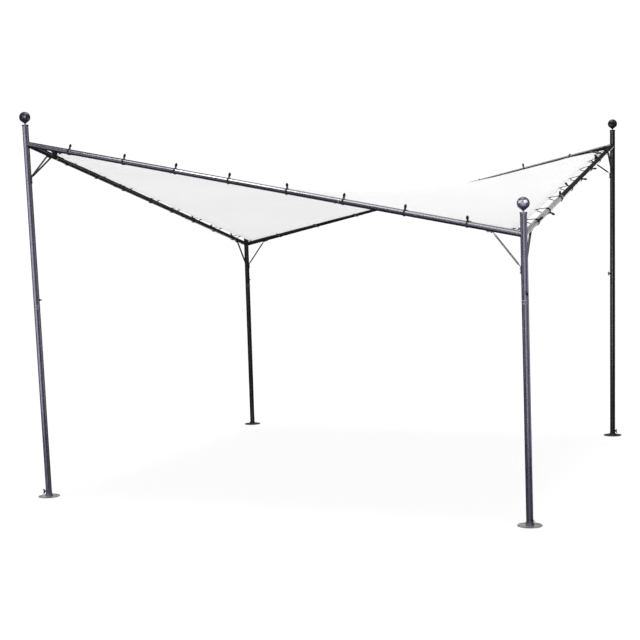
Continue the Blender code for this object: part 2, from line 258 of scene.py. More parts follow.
def powder_coat(name, base, rough, coat, worn=0.35):
    """Sprayed enamel on a steel tube: fine orange peel, faint flakes, dust low down and rubbed edges."""
    n = Nodes(name)
    mottled = n.noise(5.0, 5.0, 0.6)
    fine = n.noise(420.0, 2.0, 0.6)
    darker = tuple(0.72 * value for value in base)
    lighter = tuple(min(1.0, 1.35 * value) for value in base)
    color = n.blend(n.span(mottled, 0.35, 0.65), darker, lighter)
    flakes = n.span(n.cells(1500.0, feature="F1", output="Color"), 0.93, 1.0, 0.0, 0.25)
    color = n.blend(flakes, color, (0.16, 0.16, 0.19))
    streaks = n.noise(30.0, 3.0, 0.7, vector=n.stretch((1.0, 1.0, 0.06)))
    dusty = n.math("MULTIPLY", n.span(n.axes()[2], 0.02, 0.34, 0.10, 0.0, smooth=True), n.span(streaks, 0.35, 0.7))
    color = n.blend(dusty, color, (0.24, 0.23, 0.23))
    scuffs = n.span(n.noise(60.0, 6.0, 0.75, vector=n.stretch((1.0, 1.0, 4.0))), 0.63, 0.70, 0.0, worn)
    color = n.blend(scuffs, color, tuple(min(1.0, 2.6 * value) for value in base))
    roughness = n.span(n.noise(16.0, 4.0, 0.6), 0.3, 0.7, rough - 0.06, rough + 0.09)
    roughness = n.math("ADD", roughness, n.math("MULTIPLY", dusty, 0.8))
    peel = n.bump(n.noise(650.0, 2.0, 0.5), 0.00035, 0.16)
    ripple = n.bump(fine, 0.0005, 0.05, below=peel)
    return n.set(color=color, rough=roughness, metal=0.0, normal=ripple, level=0.45, coat=coat, coat_rough=0.12)


def bare_steel(name, base, rough, spangle=30.0, painted_above=None):
    """Galvanised or plated steel with a crystal pattern, small scratches and dull patches.

    painted_above gives the height over which black enamel covers the steel.
    """
    n = Nodes(name)
    crystals = n.cells(spangle, output="Color")
    tone = n.span(n.axes(crystals)[0], 0.0, 1.0)
    darker = tuple(0.70 * value for value in base)
    color = n.blend(tone, darker, base)
    grime = n.span(n.noise(28.0, 6.0, 0.65), 0.50, 0.72, 0.0, 0.75, smooth=True)
    color = n.blend(grime, color, (0.20, 0.185, 0.15))
    scratches = n.noise(90.0, 5.0, 0.7, vector=n.stretch((1.0, 9.0, 1.0)))
    roughness = n.span(scratches, 0.30, 0.70, rough - 0.10, rough + 0.16)
    metal = n.span(grime, 0.0, 0.75, 0.85, 0.25)
    grain = n.bump(n.noise(260.0, 4.0, 0.6), 0.0006, 0.35)
    relief = n.bump(scratches, 0.0004, 0.25, below=grain)
    if painted_above is not None:
        bare = n.span(n.axes()[2], painted_above, painted_above + 0.0006, 1.0, 0.0)
        metal = n.math("MULTIPLY", metal, bare)
        color = n.blend(bare, (0.034, 0.033, 0.041), color)
    return n.set(color=color, rough=roughness, metal=metal, normal=relief)


def worn_black_steel(name):
    """Satin black bars whose edges have rubbed through to a greyer tone."""
    n = Nodes(name)
    patches = n.noise(34.0, 6.0, 0.7)
    color = n.blend(n.span(patches, 0.35, 0.70), (0.022, 0.022, 0.024), (0.058, 0.057, 0.060))
    color = n.blend(n.span(n.noise(130.0, 5.0, 0.7), 0.66, 0.74, 0.0, 0.6), color, (0.21, 0.20, 0.19))
    roughness = n.span(patches, 0.3, 0.7, 0.34, 0.56)
    grain = n.bump(n.noise(480.0, 3.0, 0.6), 0.0003, 0.12)
    return n.set(color=color, rough=roughness, metal=0.2, normal=grain, level=0.5)


def moulded_plastic(name, base):
    n = Nodes(name)
    fine = n.noise(900.0, 3.0, 0.6)
    color = n.blend(n.span(n.noise(120.0, 4.0, 0.6), 0.35, 0.65), tuple(0.7 * v for v in base), base)
    roughness = n.span(n.noise(70.0, 4.0, 0.6), 0.3, 0.7, 0.30, 0.46)
    return n.set(color=color, rough=roughness, normal=n.bump(fine, 0.0003, 0.4), level=0.5)


def braided_cord(name, base):
    """Elastic cord: strands plaited round it, read from the lengthwise and crosswise coordinates of its mesh."""
    n = Nodes(name)
    around, along, _ = n.axes(n.place("UV"))
    first = n.math("SINE", n.math("ADD", n.math("MULTIPLY", around, 25.13), n.math("MULTIPLY", along, 1800.0)))
    second = n.math("SINE", n.math("SUBTRACT", n.math("MULTIPLY", around, 25.13), n.math("MULTIPLY", along, 1800.0)))
    plait = n.math("MULTIPLY", first, second)
    # The plait darkens the colour in the grooves between the strands: painted shade that follows the relief.
    color = n.blend(n.span(plait, -1.0, 1.0), tuple(0.55 * v for v in base), base)
    fleck = n.span(n.noise(700.0, 2.0, 0.5), 0.62, 0.72, 0.0, 0.5)
    color = n.blend(fleck, color, (0.16, 0.16, 0.165))
    return n.set(color=color, rough=0.75, normal=n.bump(plait, 0.0004, 0.7), level=0.3, sheen=0.3)


def woven_webbing(name, base):
    """Flat woven strap: ribs across it and yarns along it."""
    n = Nodes(name)
    across, along, _ = n.axes(n.place("UV"))
    ribs = n.math("SINE", n.math("MULTIPLY", along, 3600.0))
    yarns = n.math("SINE", n.math("MULTIPLY", across, 5200.0))
    weave = n.math("MULTIPLY", ribs, yarns)
    fuzz = n.noise(300.0, 5.0, 0.7)
    # The weave darkens the colour in the grooves and lightens it on the ribs: painted shade and painted highlight
    # that follow the relief.
    color = n.blend(n.span(weave, -1.0, 1.0), tuple(0.5 * v for v in base), tuple(1.5 * v for v in base))
    color = n.blend(n.span(fuzz, 0.55, 0.75, 0.0, 0.5), color, (0.085, 0.083, 0.080))
    relief = n.bump(weave, 0.0005, 0.7)
    relief = n.bump(fuzz, 0.0006, 0.3, below=relief)
    return n.set(color=color, rough=0.82, normal=relief, level=0.25, sheen=0.4)


def sailcloth(name, base):
    """White polyester: plain weave, faint creases, a folded hem with two stitch rows, light passing through it."""
    n = Nodes(name)
    east, north, _ = n.axes(n.place("UV"))
    warp = n.math("SINE", n.math("MULTIPLY", east, 5400.0))
    weft = n.math("SINE", n.math("MULTIPLY", north, 5400.0))
    weave = n.math("MULTIPLY", warp, weft)
    cloudy = n.noise(1.3, 5.0, 0.55)
    streaky = n.noise(14.0, 4.0, 0.6, vector=n.stretch((1.0, 5.0, 1.0)))
    color = n.blend(n.span(cloudy, 0.35, 0.68), tuple(0.975 * v for v in base), base)
    color = n.blend(n.span(streaky, 0.40, 0.72, 0.0, 0.35), color, tuple(0.96 * v for v in base))
    edge = n.attribute("edge_distance")
    run = n.attribute("edge_run")
    soiled = n.math("MULTIPLY", n.span(edge, 0.0, 0.10, 0.22, 0.0), n.span(n.noise(24.0, 5.0, 0.6), 0.45, 0.70))
    color = n.blend(soiled, color, (0.62, 0.60, 0.55))
    # The whole hem is painted a little darker: painted shade for the doubled cloth, which lets less light through.
    hem = n.span(edge, HEM_WIDTH - 0.001, HEM_WIDTH + 0.001, 1.0, 0.0)
    color = n.blend(n.math("MULTIPLY", hem, 0.30), color, tuple(0.93 * v for v in base))
    pitch = n.math("SINE", n.math("MULTIPLY", run, 2 * math.pi / 0.0042))
    dash = n.span(pitch, -0.2, 0.2)
    rows = None
    for place in (0.0345, 0.0285):
        off = n.math("ABSOLUTE", n.math("SUBTRACT", edge, place))
        row = n.span(off, 0.0003, 0.0008, 1.0, 0.0)
        rows = row if rows is None else n.math("MAXIMUM", rows, row)
    thread = n.math("MULTIPLY", rows, dash)
    color = n.blend(n.math("MULTIPLY", thread, 0.45), color, (0.66, 0.65, 0.62))
    creases = n.noise(3.2, 6.0, 0.62, distortion=0.5)
    relief = n.bump(weave, 0.0003, 0.30)
    relief = n.bump(creases, 0.004, 0.10, below=relief)
    relief = n.bump(thread, 0.0005, 0.8, below=relief)
    n.set(color=color, rough=0.78, normal=relief, level=0.25, sheen=0.10)
    glow = n.add("ShaderNodeBsdfTranslucent")
    n.link(color, glow.inputs["Color"])
    n.link(relief, glow.inputs["Normal"])
    mix = n.add("ShaderNodeMixShader")
    n.feed(mix.inputs["Fac"], CLOTH_GLOW)
    n.link(n.shader.outputs["BSDF"], mix.inputs[1])
    n.link(glow.outputs["BSDF"], mix.inputs[2])
    n.link(mix.outputs["Shader"], n.output.inputs["Surface"])
    return n.material


# Geometry helpers

def joint_point(corner):
    side_x, side_y, height = CORNERS[corner]
    return Vector((side_x * HALF, side_y * HALF, height))


def foot_point(corner):
    side_x, side_y, height = CORNERS[corner]
    reach = HALF - (HIGH_FOOT_INSET if height == HIGH else 0.0)
    return Vector((side_x * reach, side_y * reach, 0.0))


def post_axis(corner):
    return (joint_point(corner) - foot_point(corner)).normalized()


def sides_at(corner):
    return [side for side, ends in BEAM_ENDS.items() if corner in ends]


def beam_direction(side, corner):
    """The direction along the beam, away from this corner."""
    low_end, high_end = BEAM_ENDS[side]
    other = high_end if corner == low_end else low_end
    return (joint_point(other) - joint_point(corner)).normalized()


def new_piece(name, cage, material, smooth=True):
    mesh = bpy.data.meshes.new(name)
    bmesh.ops.recalc_face_normals(cage, faces=cage.faces)
    cage.to_mesh(mesh)
    cage.free()
    if smooth:
        mesh.shade_smooth()
        mesh.set_sharp_from_angle(angle=math.radians(38))
    mesh.materials.append(material)
    piece = bpy.data.objects.new(name, mesh)
    bpy.context.scene.collection.objects.link(piece)
    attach(piece, "root")
    return piece


def axes_frame(origin, x_axis, z_axis):
    """A frame with its Z along z_axis and its X as near to x_axis as that allows."""
    z_axis = z_axis.normalized()
    x_axis = (x_axis - x_axis.dot(z_axis) * z_axis).normalized()
    return Matrix.Translation(origin) @ Matrix((x_axis, z_axis.cross(x_axis), z_axis)).transposed().to_4x4()


def skin(cage, rings, lengths, closed=False):
    """Faces between neighbouring rings of points, with coordinates round and along them in the UV layer."""
    uv = cage.loops.layers.uv.verify()
    pairs = list(zip(range(len(rings) - 1), range(1, len(rings))))
    if closed:
        pairs.append((len(rings) - 1, 0))
    for low, high in pairs:
        first, second = rings[low], rings[high]
        sides = max(len(first), len(second))
        for i in range(sides):
            j = (i + 1) % sides
            spots = [(first[i % len(first)], i, low), (first[j % len(first)], i + 1, low),
                     (second[j % len(second)], i + 1, high), (second[i % len(second)], i, high)]
            seen = []
            for spot in spots:
                if spot[0] not in [other[0] for other in seen]:
                    seen.append(spot)
            if len(seen) < 3:
                continue
            face = cage.faces.new([spot[0] for spot in seen])
            for loop, spot in zip(face.loops, seen):
                step = spot[2] if spot[2] else (len(rings) if high == 0 and low else 0)
                loop[uv].uv = (spot[1] / sides, lengths[min(step, len(lengths) - 1)])


def turned(cage, outline, place, sides=20, closed=False):
    """A turned shape: (radius, height) points, bottom to top along the outside, about the Z axis of place."""
    rings = []
    for radius, height in outline:
        if radius < 1e-6:
            rings.append([cage.verts.new(place @ Vector((0, 0, height)))])
            continue
        turns = [math.tau * i / sides for i in range(sides)]
        rings.append([
            cage.verts.new(place @ Vector((radius * math.cos(a), radius * math.sin(a), height))) for a in turns
        ])
    skin(cage, rings, [height for _, height in outline] + [outline[0][1]], closed)


def path_frames(path, normal, closed):
    """For each point of a path: the point, a normal carried along it without twist, and the side direction."""
    frames = []
    count = len(path)
    for i, point in enumerate(path):
        before = path[i - 1] if i or closed else point
        after = path[(i + 1) % count] if i + 1 < count or closed else point
        tangent = (after - before).normalized()
        normal = (normal - normal.dot(tangent) * tangent).normalized()
        frames.append((point, normal, tangent.cross(normal)))
    return frames


def run_lengths(path, closed):
    lengths = [0.0]
    for before, after in zip(path, path[1:]):
        lengths.append(lengths[-1] + (after - before).length)
    if closed:
        lengths.append(lengths[-1] + (path[0] - path[-1]).length)
    return lengths


def sweep(cage, path, section, normal, closed=False):
    """A solid of this section along a path. Section points are (along the normal, along the side direction)."""
    rings = []
    for point, up, side in path_frames(path, normal, closed):
        rings.append([cage.verts.new(point + a * up + b * side) for a, b in section])
    skin(cage, rings, run_lengths(path, closed), closed)
    if not closed:
        cage.faces.new(rings[0])
        cage.faces.new(rings[-1])


def round_section(radius, sides=CORD_SIDES):
    return [(radius * math.cos(math.tau * i / sides), radius * math.sin(math.tau * i / sides)) for i in range(sides)]


def flat_section(width, thickness):
    """A strap's cross-section: its thickness lies along the normal, with small rounded edges."""
    a, b, r = thickness / 2, width / 2, thickness * 0.35
    return [(a, -b + r), (a, b - r), (a - r, b), (-a + r, b), (-a, b - r), (-a, -b + r), (-a + r, -b), (a - r, -b)]


def arc(centre, first, second, radius, start, end, steps):
    """Points of an arc in the plane of two unit vectors, with angles in degrees from the first."""
    points = []
    for i in range(steps + 1):
        turn = math.radians(start + (end - start) * i / steps)
        points.append(centre + radius * (math.cos(turn) * first + math.sin(turn) * second))
    return points


# The sail

def sail_height(x, y):
    """The saddle surface that the four straight beam axes bound."""
    return (HIGH + LOW) / 2 + (HIGH - LOW) / 2 * (x * y) / (HALF * HALF)


def smooth_step(value, low, high):
    share = min(1.0, max(0.0, (value - low) / (high - low)))
    return share * share * (3 - 2 * share)


def edge_place(side, x, y):
    """Distance along a side from its high corner, in plan, for a point near that side."""
    high_x, high_y, _ = CORNERS[BEAM_ENDS[side][1]]
    return abs(x - high_x * HALF) if side in ("front", "back") else abs(y - high_y * HALF)


def scallop(side, x, y):
    """How far the free edge draws in between two ties."""
    place = edge_place(side, x, y)
    stops = [HIGH_TIP_INSET, *TIE_PLACES[side], SPAN - LOW_TIP_INSET]
    for before, after in zip(stops, stops[1:]):
        if before <= place <= after:
            share = (place - before) / (after - before)
            return SCALLOP * 4 * share * (1 - share)
    return 0.0


def fold_height(x, y):
    """Folds that fan out from the tips, small puckers at the ties and a faint unevenness elsewhere."""
    height = 0.0
    for side_x, side_y, level in CORNERS.values():
        inset = HIGH_TIP_INSET if level == HIGH else LOW_TIP_INSET
        away = Vector((side_x * (HALF - inset) - x, side_y * (HALF - inset) - y))
        distance = away.length
        if distance > 1.6:
            continue
        turn = math.atan2(side_y * away.y, side_x * away.x) - math.pi / 4
        size = FOLD_SIZE[level] * smooth_step(distance, 0.04, 0.30) * math.exp(-max(0.0, distance - 0.2) / 0.42)
        sway = noise.noise((distance * 1.5, turn * 2.0, side_x + 3.0 * side_y))
        height += size * (math.sin(15.0 * turn + 1.7 * sway + side_x) + 0.45 * math.sin(31.0 * turn + 2.0 * sway))
    height += 0.0030 * noise.noise((x * 1.6, y * 1.6, 4.0)) + 0.0011 * noise.noise((x * 6.0, y * 6.0, 9.0))
    return height


def sail_point(across, back):
    """A point of the sail for two shares from -1 to 1, with the four tips drawn in from the posts."""
    reach = 1 - TAPER_START
    near_x = max(0.0, abs(across) - TAPER_START) / reach
    near_y = max(0.0, abs(back) - TAPER_START) / reach
    tip_inset = HIGH_TIP_INSET if across * back > 0 else LOW_TIP_INSET
    pull = (tip_inset - EDGE_GAP) * near_x ** TAPER_POWER * near_y ** TAPER_POWER
    x = across * SAIL_HALF - math.copysign(pull, across)
    y = back * SAIL_HALF - math.copysign(pull, back)
    edge_x = SAIL_HALF * (1 - abs(across))
    edge_y = SAIL_HALF * (1 - abs(back))
    side_y = "front" if back < 0 else "back"
    side_x = "left" if across < 0 else "right"
    drawn_y = scallop(side_y, x, y) * math.exp(-edge_y / SCALLOP_FADE)
    drawn_x = scallop(side_x, x, y) * math.exp(-edge_x / SCALLOP_FADE)
    x -= math.copysign(drawn_x, across)
    y -= math.copysign(drawn_y, back)
    calm = smooth_step(min(edge_x, edge_y), 0.0, 0.12)
    return Vector((x, y, sail_height(x, y) + fold_height(x, y) * (0.35 + 0.65 * calm)))


def sail_shares():
    """Grid lines of the sail from -1 to 1: close together at the hem, even elsewhere."""
    inner = SAIL_HALF - HEM_LINES[-1]
    cells = SAIL_CELLS - 2 * (len(HEM_LINES) - 1)
    middle = [-inner + 2 * inner * i / cells for i in range(1, cells)]
    edge = [SAIL_HALF - distance for distance in HEM_LINES]
    lines = [-value for value in edge] + middle + list(reversed(edge))
    return [value / SAIL_HALF for value in lines]


def make_sail():
    """One sheet of cloth with a hem, and a hole for each tie."""
    shares = sail_shares()
    last = len(shares) - 1
    cage = bmesh.new()
    distance = cage.verts.layers.float.new("edge_distance")
    run = cage.verts.layers.float.new("edge_run")
    uv = cage.loops.layers.uv.verify()
    rows = []
    for back in shares:
        row = []
        for across in shares:
            vertex = cage.verts.new(sail_point(across, back))
            from_x = SAIL_HALF * (1 - abs(across))
            from_y = SAIL_HALF * (1 - abs(back))
            vertex[distance] = min(from_x, from_y)
            vertex[run] = vertex.co.x if from_y < from_x else vertex.co.y
            row.append(vertex)
        rows.append(row)
    for j in range(last):
        for i in range(last):
            face = cage.faces.new((rows[j][i], rows[j][i + 1], rows[j + 1][i + 1], rows[j + 1][i]))
            face.smooth = True
            for loop in face.loops:
                loop[uv].uv = loop.vert.co.xy
    mesh = bpy.data.meshes.new("sail")
    cage.to_mesh(mesh)
    cage.free()
    sail = bpy.data.objects.new("sail", mesh)
    bpy.context.scene.collection.objects.link(sail)
    hem = sail.vertex_groups.new(name="hem")
    values = mesh.attributes["edge_distance"].data
    for index, value in enumerate(values):
        hem.add([index], 1.0 if value.value < HEM_WIDTH else CLOTH_THICKNESS / HEM_THICKNESS, "REPLACE")
    shell = sail.modifiers.new("Thickness", "SOLIDIFY")
    shell.thickness = HEM_THICKNESS
    shell.offset = 0.0
    shell.vertex_group = "hem"
    shell.thickness_vertex_group = 0.0
    drill = bmesh.new()
    bore = [(0, -0.01), (EYELET_HOLE, -0.01), (EYELET_HOLE, 0.01), (0, 0.01)]
    for side in BEAM_ENDS:
        for place in TIE_PLACES[side]:
            spot, normal = eyelet_spot(side, place)
            hole = axes_frame(spot, Vector((1, 0, 0)), normal)
            turned(drill, bore, hole, sides=16)
    for corner in CORNERS:
        turned(drill, bore, tip_frame(corner) @ Matrix.Translation((TIP_EYELET, 0, 0)), sides=16)
    tool_mesh = bpy.data.meshes.new("drill")
    bmesh.ops.recalc_face_normals(drill, faces=drill.faces)
    drill.to_mesh(tool_mesh)
    drill.free()
    tool = bpy.data.objects.new("drill", tool_mesh)
    bpy.context.scene.collection.objects.link(tool)
    holes = sail.modifiers.new("Holes", "BOOLEAN")
    holes.operation = "DIFFERENCE"
    holes.object = tool
    finished = bpy.data.meshes.new_from_object(sail.evaluated_get(bpy.context.evaluated_depsgraph_get()))
    sail.modifiers.clear()
    sail.data = finished
    sail.vertex_groups.clear()
    bpy.data.objects.remove(tool)
    finished.materials.clear()
    finished.materials.append(finishes["cloth"])
    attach(sail, "root")
    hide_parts("canopy")
    return sail


def inwards_of(side):
    """The level direction from a beam towards the middle of the gazebo."""
    return {"front": Vector((0, 1, 0)), "back": Vector((0, -1, 0)),
            "left": Vector((1, 0, 0)), "right": Vector((-1, 0, 0))}[side]


def axis_point(side, place):
    """The point of a beam's axis at this plan distance from its high corner."""
    corner = BEAM_ENDS[side][1]
    direction = beam_direction(side, corner)
    return joint_point(corner) + direction * (place / direction.xy.length)


def surface_at(x, y):
    """The sail's middle surface above a point away from the tips."""
    return sail_point(x / SAIL_HALF, y / SAIL_HALF)


def eyelet_spot(side, place):
    """An eyelet's centre in the cloth, and the cloth's normal there."""
    flat = axis_point(side, place) + EYELET_DISTANCE * inwards_of(side)
    spot = surface_at(flat.x, flat.y)
    east = surface_at(flat.x + 0.01, flat.y) - surface_at(flat.x - 0.01, flat.y)
    north = surface_at(flat.x, flat.y + 0.01) - surface_at(flat.x, flat.y - 0.01)
    return spot, east.cross(north).normalized()


def make_eyelets():
    """Plated rings that grip the hem and the tips from both faces."""
    pieces = []
    groove = HEM_THICKNESS / 2 + 0.0001
    outline = [
        (0.0114, -0.0024), (0.0118, -0.0020), (0.0116, -groove), (0.0060, -groove), (0.0060, groove),
        (0.0116, groove), (0.0118, 0.0020), (0.0114, 0.0024), (0.0088, 0.0029), (0.0063, 0.0028),
        (0.0055, 0.0022), (0.0053, 0.0010), (0.0053, -0.0010), (0.0055, -0.0022), (0.0063, -0.0028),
        (0.0088, -0.0029),
    ]
    for side in BEAM_ENDS:
        cage = bmesh.new()
        for place in TIE_PLACES[side]:
            spot, normal = eyelet_spot(side, place)
            turned(cage, outline, axes_frame(spot, Vector((1, 0, 0)), normal), sides=24, closed=True)
        pieces.append(new_piece(f"eyelets_{side}", cage, finishes["zinc"]))
    cage = bmesh.new()
    for corner in CORNERS:
        turned(cage, outline, tip_frame(corner) @ Matrix.Translation((TIP_EYELET, 0, 0)), sides=24, closed=True)
    pieces.append(new_piece("eyelets_tips", cage, finishes["zinc"]))
    return pieces


TOGGLE_OUTLINE = [
    (0.0, 0.0), (0.0058, 0.0), (0.0066, 0.0010), (0.0065, 0.0032), (0.0050, 0.0044), (0.0048, 0.0058),
    (0.0062, 0.0076), (0.0076, 0.0108), (0.0080, 0.0145), (0.0076, 0.0185), (0.0064, 0.0222),
    (0.0046, 0.0253), (0.0026, 0.0272), (0.0010, 0.0279), (0.0, 0.0280),
]


def make_ties(side):
    """Doubled elastic loops from the eyelets round the beam, each held by a toggle that stands on them."""
    cords = bmesh.new()
    toggles = bmesh.new()
    along = beam_direction(side, BEAM_ENDS[side][1])
    dice = random.Random(f"ties {side}")
    reach = BEAM_RADIUS + CORD_GAP + CORD_RADIUS
    for index, place in enumerate(TIE_PLACES[side]):
        centre = axis_point(side, place)
        spot, normal = eyelet_spot(side, place)
        inwards = spot - centre
        centre = centre + inwards.dot(along) * along
        distance = (spot - centre).length
        inwards = (spot - centre).normalized()
        upwards = along.cross(inwards)
        if upwards.z < 0:
            upwards = -upwards
        lift = HEM_THICKNESS / 2 + CORD_RADIUS + 0.0018
        grip = math.degrees(math.acos(reach / (distance - 0.006)))
        path = [spot]
        path += [spot + 0.62 * lift * upwards - 0.0003 * inwards, spot + lift * upwards - 0.0030 * inwards]
        path += [spot + (lift + 0.0006) * upwards - 0.0080 * inwards]
        path += arc(centre, inwards, upwards, reach, grip, 360 - grip, 22)
        path += [spot - (lift + 0.0006) * upwards - 0.0080 * inwards]
        path += [spot - lift * upwards - 0.0030 * inwards, spot - 0.62 * lift * upwards - 0.0003 * inwards]
        for offset in (-STRAND_OFFSET, STRAND_OFFSET):
            strand = [point + offset * along for point in path]
            sweep(cords, strand, round_section(CORD_RADIUS), along, closed=True)
        turn = TOGGLE_TURNS[side][index]
        angle = math.radians(turn + dice.uniform(-5, 5))
        outwards = math.cos(angle) * inwards + math.sin(angle) * upwards
        sway = along * dice.uniform(-0.22, 0.10)
        base = centre + (reach + CORD_RADIUS + CORD_GAP) * outwards
        stand = axes_frame(base, along, outwards + sway) @ Matrix.Diagonal((1.22, 1.0, 1.16, 1.0))
        turned(toggles, TOGGLE_OUTLINE, stand, sides=16)
    return [
        new_piece(f"ties_{side}", cords, finishes["elastic"]),
        new_piece(f"toggles_{side}", toggles, finishes["plastic"]),
    ]


# The sail's corners

def tip_frame(corner):
    """A frame at the sail's tip: X runs inwards along the sail, and Z is square to the sail."""
    side_x, side_y, _ = CORNERS[corner]
    tip = sail_point(side_x, side_y)
    inside = tip - Vector((side_x, side_y, 0)) * TIP_PROBE
    inside.z = sail_height(inside.x, inside.y)
    inwards = (inside - tip).normalized()
    across = UP.cross(inwards).normalized()
    axes = Matrix((inwards, across, inwards.cross(across))).transposed().to_4x4()
    return Matrix.Translation(tip) @ axes


def hoop(cage, centre, first, second, radius, wire, sides=10, steps=28):
    """A closed ring of round wire in the plane of two unit vectors."""
    path = arc(centre, first, second, radius, 0, 360, steps)[:-1]
    sweep(cage, path, round_section(wire, sides), first.cross(second), closed=True)


def rounded_loop(centre, first, second, half_first, half_second, corner, steps=5):
    """Points round a rectangle with rounded corners, in the plane of two unit vectors."""
    points = []
    for turn, (a, b) in enumerate(((1, 1), (-1, 1), (-1, -1), (1, -1))):
        middle = centre + a * (half_first - corner) * first + b * (half_second - corner) * second
        points += arc(middle, first, second, corner, 90 * turn, 90 * turn + 90, steps)
    return points


def rounded_box(cage, place, size, edge):
    made = bmesh.ops.create_cube(cage, size=1.0, matrix=place @ Matrix.Diagonal((*size, 1.0)))
    edges = list({edge_near for vertex in made["verts"] for edge_near in vertex.link_edges})
    bmesh.ops.bevel(cage, geom=edges, offset=edge, segments=2, profile=0.6, affect="EDGES", clamp_overlap=True)


def strip(cage, spots, thickness, closed):
    """A strap through (point, half width vector) spots, flat between them."""
    rings = []
    count = len(spots)
    for i, (point, half) in enumerate(spots):
        before = spots[i - 1][0] if i or closed else point
        after = spots[(i + 1) % count][0] if i + 1 < count or closed else point
        face = (after - before).normalized().cross(half).normalized() * thickness / 2
        tuck = half * (1 - 0.35 * thickness / half.length)
        corners = (face * 0.4 + half, face + tuck, face - tuck, face * 0.4 - half,
                   -face * 0.4 - half, -face - tuck, -face + tuck, half - face * 0.4)
        rings.append([cage.verts.new(point + corner) for corner in corners])
    skin(cage, rings, run_lengths([point for point, _ in spots], closed), closed)
    if not closed:
        cage.faces.new(rings[0])
        cage.faces.new(rings[-1])


def between(first, second, steps):
    """Spots of a strap between two spots, its width turning evenly from one to the other."""
    spots = []
    for i in range(1, steps):
        share = i / steps
        half = first[1].lerp(second[1], share)
        spots.append((first[0].lerp(second[0], share), half.normalized() * first[1].length))
    return spots


def strap_loop(cage, first, first_axis, second, second_axis):
    """A webbing loop round two bars whose axes needn't be parallel."""
    half = STRAP_WIDTH / 2
    radius = LINK_WIRE + 0.0003 + STRAP_THICKNESS / 2
    if first_axis.dot(second_axis) < 0:
        first_axis = -first_axis
    turns = []
    for bar, axis, away in ((first, first_axis, first - second), (second, second_axis, second - first)):
        away = (away - away.dot(axis) * axis).normalized()
        rise = axis.cross(away).normalized()
        if rise.z < 0:
            rise = -rise
        turns.append((bar, axis, away, rise))
    (bar, axis, away, rise), (far_bar, far_axis, far_away, far_rise) = turns
    round_first = [(point, axis * half) for point in arc(bar, rise, away, radius, 0, 180, 8)]
    round_second = [(point, far_axis * half) for point in arc(far_bar, -far_rise, far_away, radius, 0, 180, 8)]
    spots = round_first + between(round_first[-1], round_second[0], 6)
    spots += round_second + between(round_second[-1], round_first[0], 6)
    strip(cage, spots, STRAP_THICKNESS, closed=True)


def make_corner_strap(corner):
    """Webbing from both beams to a link, the ring from the link to the sail's tip, and a hanging cam buckle."""
    place = tip_frame(corner)
    tip = place.translation
    inwards, across, square = (place.to_3x3().col[i].copy() for i in range(3))
    ring = bmesh.new()
    ring_x = TIP_EYELET - RING_RADIUS
    hoop(ring, tip + ring_x * inwards, inwards, square, RING_RADIUS, RING_WIRE)
    link = bmesh.new()
    bar_x = ring_x - RING_RADIUS + RING_WIRE + LINK_WIRE + 0.0002
    centre = tip + (bar_x - LINK_HALF_WIDTH) * inwards
    loop = rounded_loop(centre, inwards, across, LINK_HALF_WIDTH, LINK_HALF_LENGTH, LINK_CORNER)
    sweep(link, loop, round_section(LINK_WIRE, 10), square, closed=True)
    straps = bmesh.new()
    fittings = bmesh.new()
    for index, side in enumerate(sides_at(corner)):
        along = beam_direction(side, corner)
        axis_at = joint_point(corner) + STRAP_ALONG_BEAM[side] * along
        hand = 1 if (axis_at - centre).dot(across) > 0 else -1
        bar = centre + hand * LINK_HALF_LENGTH * across
        towards = bar - axis_at
        level_in = (towards - towards.dot(along) * along).normalized()
        below = (-UP + UP.dot(along) * along).normalized()
        below = (below - below.dot(level_in) * level_in).normalized()
        turn = math.radians(STAPLE_TURN)
        outwards = math.cos(turn) * level_in + math.sin(turn) * below
        staple = axis_at + (BEAM_RADIUS + STAPLE_RISE) * outwards
        feet = [staple + hand_of * STAPLE_HALF * along for hand_of in (-1, 1)]
        root = (STAPLE_RISE + 0.0006) * outwards
        path = [feet[0] - root]
        path += arc(feet[0] - 0.004 * outwards + 0.004 * along, -along, outwards, 0.004, 0, 90, 5)
        path += arc(feet[1] - 0.004 * outwards - 0.004 * along, outwards, along, 0.004, 0, 90, 5)
        path += [feet[1] - root]
        sweep(link, path, round_section(LINK_WIRE, 10), outwards.cross(along))
        for foot_at in feet:
            plate = axes_frame(foot_at - (STAPLE_RISE - 0.0002) * outwards, along, outwards)
            turned(link, [(0.0, 0.0), (0.0058, 0.0), (0.0058, 0.0012), (0.0, 0.0014)], plate, sides=14)
        strap_loop(straps, staple, along, bar, inwards)
        if side not in ("front", "back"):
            continue
        level = along.copy()
        level.z = 0
        level.normalize()
        depth = level.cross(UP)
        top = axis_at - (BEAM_RADIUS + 0.0012) * UP
        drop = TAIL_DROP[corner]
        half = TAIL_HALF[corner]
        tail = [(top - drop * share * UP, level * half) for share in (0.0, 0.35, 0.7, 1.0)]
        strip(straps, tail, 2 * STRAP_THICKNESS, closed=False)
        middle = top - (drop + BUCKLE_HEIGHT / 2) * UP
        body = Matrix.Translation(middle) @ Matrix((level, depth, UP)).transposed().to_4x4()
        width, deep = BUCKLE_WIDTH, BUCKLE_DEPTH
        rounded_box(fittings, body, (width, deep, BUCKLE_HEIGHT), 0.0022)
        for face in (-1, 1):
            lever = body @ Matrix.Translation((0, face * (deep / 2 + 0.0016), 0.004))
            rounded_box(fittings, lever, (width * 0.72, 0.0032, BUCKLE_HEIGHT * 0.62), 0.0012)
            rib = body @ Matrix.Translation((0, face * (deep / 2 + 0.0010), -BUCKLE_HEIGHT * 0.38))
            rounded_box(fittings, rib, (width * 0.9, 0.0030, 0.0040), 0.0010)
    pieces = [
        new_piece(f"strap_webbing_{corner}", straps, finishes["webbing"]),
        new_piece(f"strap_link_{corner}", link, finishes["black_steel"]),
        new_piece(f"strap_buckle_{corner}", fittings, finishes["plastic"]),
        new_piece(f"tip_ring_{corner}", ring, finishes["zinc"]),
    ]
    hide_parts(f"corner_strap_{corner}")
    return pieces


